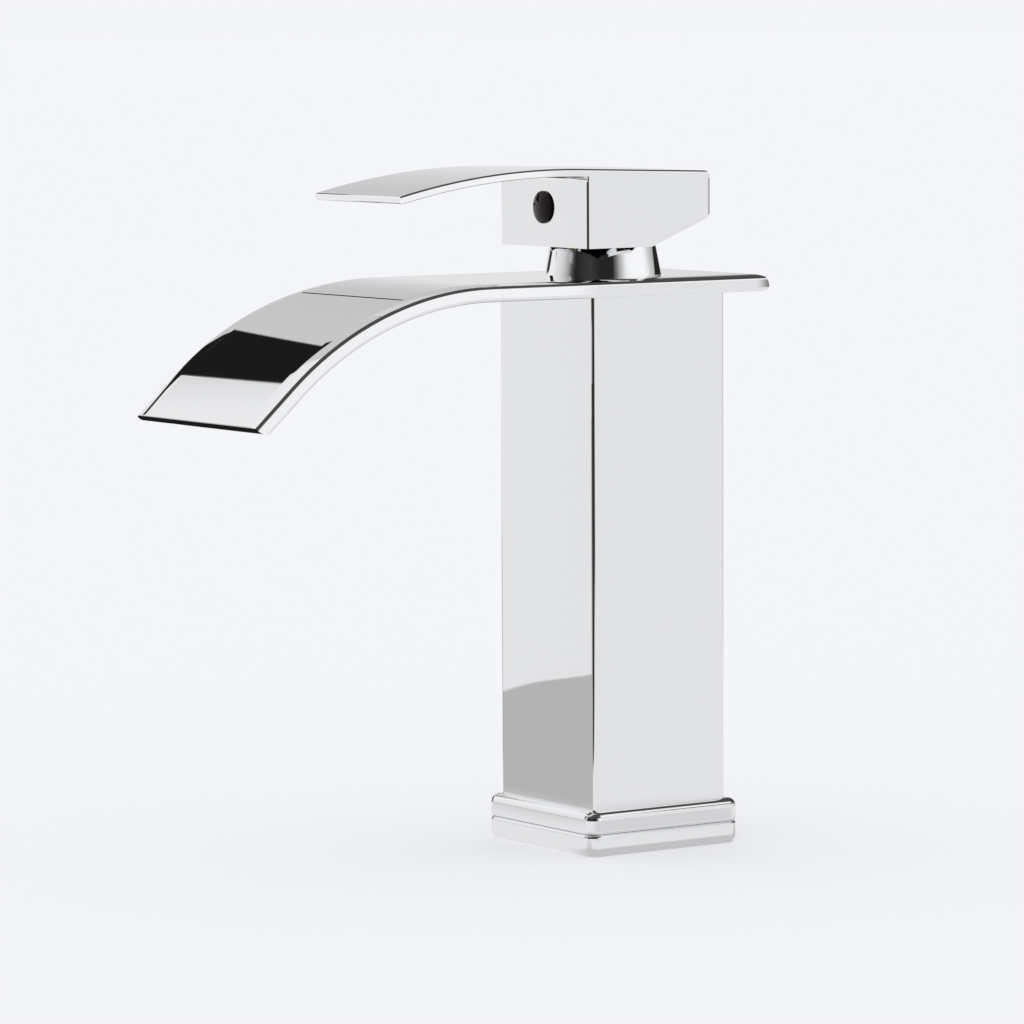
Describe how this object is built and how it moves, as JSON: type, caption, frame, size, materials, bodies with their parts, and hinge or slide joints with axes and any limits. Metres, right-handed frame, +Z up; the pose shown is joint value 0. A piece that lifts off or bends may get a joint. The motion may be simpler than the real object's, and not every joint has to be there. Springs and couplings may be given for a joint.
{
  "type": "basin mixer tap",
  "caption": "Square-column single-lever basin mixer with a wide curved waterfall spout, a conical bonnet and a working ceramic cartridge.",
  "frame": {"origin": "middle of the base flange's underside, on the column's axis, at the deck hole's centre", "axes": "+Z up along the column, the spout points along -Y, +X is on the right of a user who faces the spout"},
  "size_m": [0.0616, 0.1682, 0.1898],
  "materials": {
    "chrome": "polished chrome plate",
    "rubber": "moulded nitrile rubber",
    "steel": "turned stainless steel",
    "brass": "machined brass",
    "white_plastic": "moulded acetal",
    "grey_plastic": "moulded glass-filled nylon",
    "ceramic": "lapped alumina ceramic",
    "dark_gloss": "glossy dark plastic"
  },
  "bodies": {
    "faucet_body": {"base_flange": "chrome", "base_gasket": "rubber", "base_screws": "steel", "body_column": "chrome", "spout_gasket": "rubber", "spout": "chrome", "spout_cover": "chrome", "spout_screws": "steel", "bonnet_nut": "chrome", "bonnet_o_ring": "rubber", "cartridge_base": "white_plastic", "inlet_seals": "rubber", "disc_seal": "rubber", "fixed_disc": "ceramic", "cartridge_housing": "white_plastic", "housing_o_ring": "rubber"},
    "rotor": {"rotor": "grey_plastic", "slip_ring": "white_plastic", "pivot_pin": "steel"},
    "valve_disc": {"moving_disc": "ceramic", "disc_carrier": "grey_plastic"},
    "lever": {"spindle": "brass", "handle": "chrome", "set_screw": "steel", "index_plug": "dark_gloss"}
  },
  "joints": [
    {"name": "lever_swivel", "type": "hinge", "parent": "faucet_body", "child": "rotor", "pos_m": [0, -0.003, 0.16], "axis": [0, 0, 1], "range_deg": [-40, 40]},
    {"name": "lever_lift", "type": "hinge", "parent": "rotor", "child": "lever", "pos_m": [0, -0.003, 0.16], "axis": [-1, 0, 0], "range_deg": [0, 25]},
    {"name": "disc_slide", "type": "slide", "parent": "rotor", "child": "valve_disc", "axis": [0, -1, 0], "range_m": [0, 0.0034]}
  ],
  "couplings": [
    {"joint": "disc_slide", "follows": "lever_lift", "m_per_rad": 0.00775}
  ]
}
